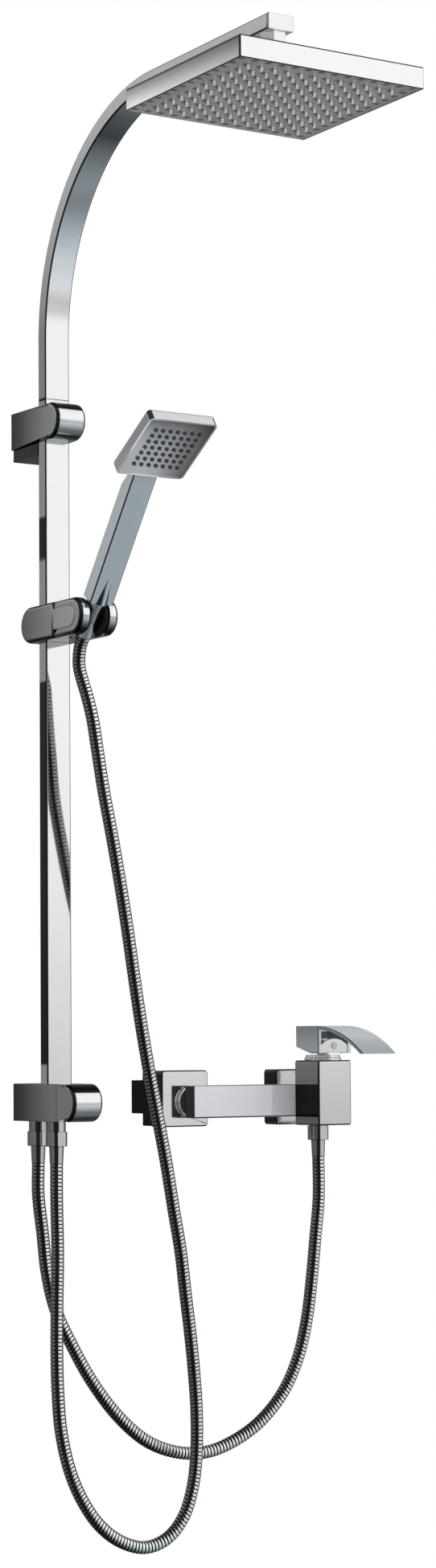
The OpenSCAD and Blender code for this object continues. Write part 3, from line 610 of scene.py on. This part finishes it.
BY_SLOT = {
    "chrome_tube": ARM, "chrome_brass": BRASS, "chrome_plastic": PLASTIC, "steel_shell": SHELL,
    "steel_plate": PLATE, "grey_plate": FACE, "steel_small": SMALL, "brass_inner": BRASSY,
    "black_plastic": BLACK, "white_plastic": PALE, "black_rubber": RUBBER, "clear_nozzle": NOZZLE,
    "steel_hose": HOSE,
}
BY_NODE = {
    "lower_riser": RISER, "riser_spigot": RISER, "head_neck": ENDS,
    "upper_bracket": BRACKET, "diverter_body": BRACKET, "diverter_knob": BRACKET,
    "slider_body": SLIDER, "slider_fork": SLIDER, "release_button": BUTTON,
    "handset_handle": HANDLE, "handset_back": HEAD, "handset_nozzles": DARK_NOZZLE,
    "valve_block": VALVE, "mixer_bar": BAR, "lever": LEVER, "left_supply_tail": TAIL,
    "left_escutcheon": COVER, "right_escutcheon": COVER,
    "hose_stubs": ENDS, "hose_nuts": ENDS, "hose_ferrules": ENDS,
}

# ---- rounded edges ----------------------------------------------------------------------

SHARP = 38.0             # edges that turn by more degrees than this stay crisp
FLAT = 0.4               # faces that turn by fewer degrees than this become one
SMALL_EDGE = 0.0006
UNBEVELLED = ("brass_inner", "black_rubber", "white_plastic", "steel_small", "clear_nozzle",
              "steel_plate", "grey_plate")
TOUCH = 0.0001           # a point this close to an outline belongs to it


def left_or_right(x, low, high):
    """The side of the node whose face the point lies on, if any."""
    if abs(x - (low[0] + high[0]) / 2) > (high[0] - low[0]) / 2 - TOUCH:
        return "left" if x < (low[0] + high[0]) / 2 else "right"


def on_sides(name):
    """The outlines of a node's left and right faces."""
    low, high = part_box(name)
    return lambda x, y, z: left_or_right(x, low, high)


def on_nose(name):
    """The side outlines of a bracket's round nose."""
    low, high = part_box(name)
    r, middle = (high[2] - low[2]) / 2, (high[2] + low[2]) / 2
    start = low[1] + r

    def test(x, y, z):
        if y < start + 0.001 and math.hypot(min(y - start, 0), z - middle) > r - TOUCH:
            return left_or_right(x, low, high)
    return test


def on_holder(name):
    """The side outlines of the holder, which is round in front and behind."""
    low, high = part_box(name)
    r, middle = (high[2] - low[2]) / 2, (high[2] + low[2]) / 2
    front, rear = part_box("slider_fork")[0][1] + r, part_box("slider_body")[1][1] - r

    def test(x, y, z):
        if math.hypot(y - min(max(y, front), rear), z - middle) > r - 1.5 * TOUCH:
            return left_or_right(x, low, high)
    return test


def on_box(name):
    """The edges of a boxy node: the points that lie on two or more faces of its box."""
    low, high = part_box(name)

    def test(*point):
        faces = [abs(c - limit[i]) < TOUCH / 2 for i, c in enumerate(point) for limit in (low, high)]
        return "outer" if sum(faces) > 1 else None
    return test


def on_cover(name):
    """The front outline of a wall cover."""
    low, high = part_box(name)
    flat = 0.024         # half the width of the front that has no outline in it

    def test(x, y, z):
        off = max(abs(x - (low[0] + high[0]) / 2), abs(z - (low[2] + high[2]) / 2))
        return "front" if y < low[1] + TOUCH and off > flat else None
    return test


def on_back(name):
    """The back edge of the hand shower's head, whose handle leans out of the holder."""
    lean, tilt = math.radians(37), math.radians(58)      # of the handle, of the head's face
    back = vec(0, -141, 512)                             # the axis on which the cradle tilts
    back += vec(0, -178 * math.sin(lean), 178 * math.cos(lean))
    back += vec(0, -17.5 * math.cos(lean), -17.5 * math.sin(lean))
    behind = Vector((0, math.cos(tilt), math.sin(tilt)))
    depth = 0.0139

    def test(x, y, z):
        return "back" if (Vector((x, y, z)) - back).dot(behind) > depth else None
    return test


# Width of the rounding, steps across it, and the outlines that it follows: every sharp edge where
# there is no test
EDGES = {
    "upper_bracket": (0.0042, 5, on_nose),
    "diverter_knob": (0.0042, 5, on_nose),
    "diverter_body": (0.0010, 3, on_box),
    "slider_body": (0.0045, 5, on_holder),
    "slider_fork": (0.0045, 5, on_holder),
    "handset_back": (0.0040, 5, on_back),
    "handset_handle": (0.0016, 3, on_sides),
    "head_shell": (0.0011, 3, on_box),
    "upper_arm": (0.0018, 3, on_sides),
    "lower_riser": (0.0018, 3, on_sides),
    "arm_end_cap": (0.0012, 3, None),
    "left_escutcheon": (0.0020, 4, on_cover),
    "right_escutcheon": (0.0020, 4, on_cover),
    "mixer_bar": (0.0020, 3, on_box),
    "valve_block": (0.0022, 3, on_box),
    "lever": (0.0012, 3, on_sides),
    "hose_nuts": (0.0018, 4, None),
}


def bevel_on(o, width, segments, group=""):
    """Rounds the edges of a vertex group, or every sharp edge."""
    b = o.modifiers.new("edge_" + group, "BEVEL")
    b.width = width
    b.segments = segments
    b.harden_normals = False
    b.use_clamp_overlap = not group
    b.limit_method = "VGROUP" if group else "ANGLE"
    b.angle_limit = math.radians(SHARP)
    b.vertex_group = group


def dress(name, material, width, segments, outline):
    """Gives a CAD node its finish and softly rounded edges, and keeps its flat faces flat."""
    o = cad(name)
    me = o.data
    me.polygons.foreach_set("use_smooth", [True] * len(me.polygons))
    me.materials.clear()
    me.materials.append(material)
    if not width:
        me.set_sharp_from_angle(angle=math.radians(SHARP))
        return
    o.modifiers.new("weld", "WELD").merge_threshold = 0.00001
    flat = o.modifiers.new("flat", "DECIMATE")
    flat.decimate_type = "DISSOLVE"
    flat.angle_limit = math.radians(FLAT)
    if outline:
        group_of = outline(name)
        groups = {}
        for v in me.vertices:
            groups.setdefault(group_of(*v.co), []).append(v.index)
        for group in sorted(g for g in groups if g):
            o.vertex_groups.new(name=group).add(groups[group], 1.0, "REPLACE")
            bevel_on(o, width, segments, group)
    else:
        bevel_on(o, width, segments)
    o.modifiers.new("split", "EDGE_SPLIT").split_angle = math.radians(SHARP)
    o.modifiers.new("normals", "WEIGHTED_NORMAL").weight = 100


for part in frame["record"]["subparts"]:
    node, slot = part["node"], part["material_slot"]
    if not cad(node).hide_render:
        small = (0.0 if slot in UNBEVELLED else SMALL_EDGE, 3, None)
        dress(node, BY_NODE.get(node, BY_SLOT[slot]), *EDGES.get(node, small))

# ---- floor, light and surroundings -------------------------------------------------------

FLOOR_R = 3.2
FLOOR_SIDES = 96
FLOOR_MIDDLE = (-0.3, -1.0)      # y and z
LAMP_AT = Vector((2.5, -3.0, 2.5))
LAMP_AIM = Vector((0, -0.2, 0.3))
LAMP_SIZE = (2.0, 2.5)
LAMP_POWER = 60


def make_floor():
    turns = [2 * math.pi * k / FLOOR_SIDES for k in range(FLOOR_SIDES)]
    y, z = FLOOR_MIDDLE
    verts = [(FLOOR_R * math.cos(a), y + FLOOR_R * math.sin(a), z) for a in turns]
    me = bpy.data.meshes.new("floor")
    me.from_pydata(verts, [], [tuple(range(FLOOR_SIDES))])
    m, n, bsdf, coord = new_material("floor_pale")
    cloud = n.noise(coord, 3.0, 3.0)
    n.put(bsdf, "Base Color", n.mix(cloud, (0.86, 0.86, 0.86), (0.90, 0.90, 0.90)))
    bsdf.inputs["Roughness"].default_value = 0.8
    me.materials.append(m)
    o = bpy.data.objects.new("floor", me)
    bpy.context.scene.collection.objects.link(o)
    o.visible_glossy = False


def make_lamp():
    """A large soft lamp in front on the right."""
    lamp = bpy.data.lights.new("key", "AREA")
    lamp.shape = "RECTANGLE"
    lamp.size, lamp.size_y = LAMP_SIZE
    lamp.energy = LAMP_POWER
    o = bpy.data.objects.new("key", lamp)
    o.rotation_euler = (LAMP_AIM - LAMP_AT).normalized().to_track_quat("-Z", "Y").to_euler()
    o.location = LAMP_AT
    o.visible_camera = False
    o.visible_glossy = False
    bpy.context.scene.collection.objects.link(o)


def background(n, colour, strength=1.0):
    node = n.add("ShaderNodeBackground")
    n.put(node, "Color", colour)
    n.put(node, "Strength", strength)
    return node.outputs[0]


def choose(n, when, otherwise, then):
    """One of two backgrounds, by the kind of ray."""
    node = n.add("ShaderNodeMixShader")
    n.put(node, 0, when)
    n.put(node, 1, otherwise)
    n.put(node, 2, then)
    return node.outputs[0]


def make_world():
    """A room that only mirror images see: white walls from the right round to the front, grey ones on
    the left and behind, a darker floor, and a ceiling that is brightest over the white walls. The
    background is plain white, and the fill light is plain."""
    w = bpy.data.worlds.new("studio")
    w.use_nodes = True
    w.node_tree.nodes.clear()
    n = Nodes(w.node_tree)
    x, y, z = n.axes(n.add("ShaderNodeTexCoord").outputs["Generated"])
    turn = n.span(n.math("ARCTAN2", x, y), -math.pi, math.pi)
    rise = n.span(n.math("ARCSINE", z), -math.pi / 2, math.pi / 2)

    def by_turn(stops):
        """Tones round the room, by degrees from +Y towards +X."""
        return n.ramp(turn, [((degrees + 180) / 360, tone) for degrees, tone in stops])

    def by_rise(stops):
        """Tones or colours from the floor to the ceiling, by degrees above level."""
        return n.ramp(rise, [((degrees + 90) / 180, tone) for degrees, tone in stops])

    around = by_turn([
        (-180, 0.36), (-120, 0.34), (-113, 0.42), (-60, 0.38), (-32, 0.42), (-18, 0.36), (-8, 0.34),
        (62, 0.32), (74, 0.34), (84, 0.95), (110, 1.0), (150, 0.98), (172, 0.95), (178, 0.36),
        (180, 0.36)])
    height = by_rise([
        (-90, 0.05), (-60, 0.14), (-47, 0.30), (-37, 0.50), (-25, 0.72), (-13, 0.80), (-6, 0.60),
        (-1, 0.66), (1, 0.80), (3, 0.93), (6, 1.0), (38, 1.0), (44, 0.04), (90, 0.05)])
    ground = n.math(
        "MULTIPLY",
        by_rise([(-90, 0.14), (-70, 0.18), (-56, 0.30), (-45, 0.20), (-38, 0.03), (-28, 0.0)]),
        by_turn([(-180, 0.8), (-30, 0.5), (20, 0.12), (62, 0.15), (90, 0.7), (112, 1.0), (180, 0.8)]))
    ceiling = n.math(
        "MULTIPLY",
        by_turn([(-180, 0.6), (-60, 0.5), (-30, 0.15), (90, 0.3), (130, 0.95), (165, 0.95), (180, 0.6)]),
        by_rise([(28, 0.0), (38, 1.0), (90, 1.0)]))
    patch = n.math(
        "MULTIPLY",
        by_turn([(-75, 0.0), (-55, 0.9), (-18, 0.9), (-8, 0.0)]),
        by_rise([(11, 0.0), (14, 1.0), (24, 1.0), (30, 0.0)]))
    glow = n.math("MAXIMUM", n.math("MULTIPLY", around, height), ground)
    glow = n.math("MAXIMUM", glow, n.math("MAXIMUM", ceiling, patch))
    tint = by_rise([(-90, (0.80, 0.93, 1.0)), (-25, (0.86, 0.95, 1.0)), (-8, (1.0, 1.0, 1.0))])
    room = background(n, n.mix(1.0, tint, glow, "MULTIPLY"))
    fill = background(n, (0.95, 0.97, 1, 1), 0.9)
    white = background(n, (1, 1, 1, 1))
    ray = n.add("ShaderNodeLightPath").outputs
    unseen = choose(n, ray["Is Glossy Ray"], fill, room)
    n.put(n.add("ShaderNodeOutputWorld"), 0, choose(n, ray["Is Camera Ray"], unseen, white))
    bpy.context.scene.world = w


make_floor()
make_lamp()
make_world()
bpy.context.scene.view_settings.view_transform = "Standard"
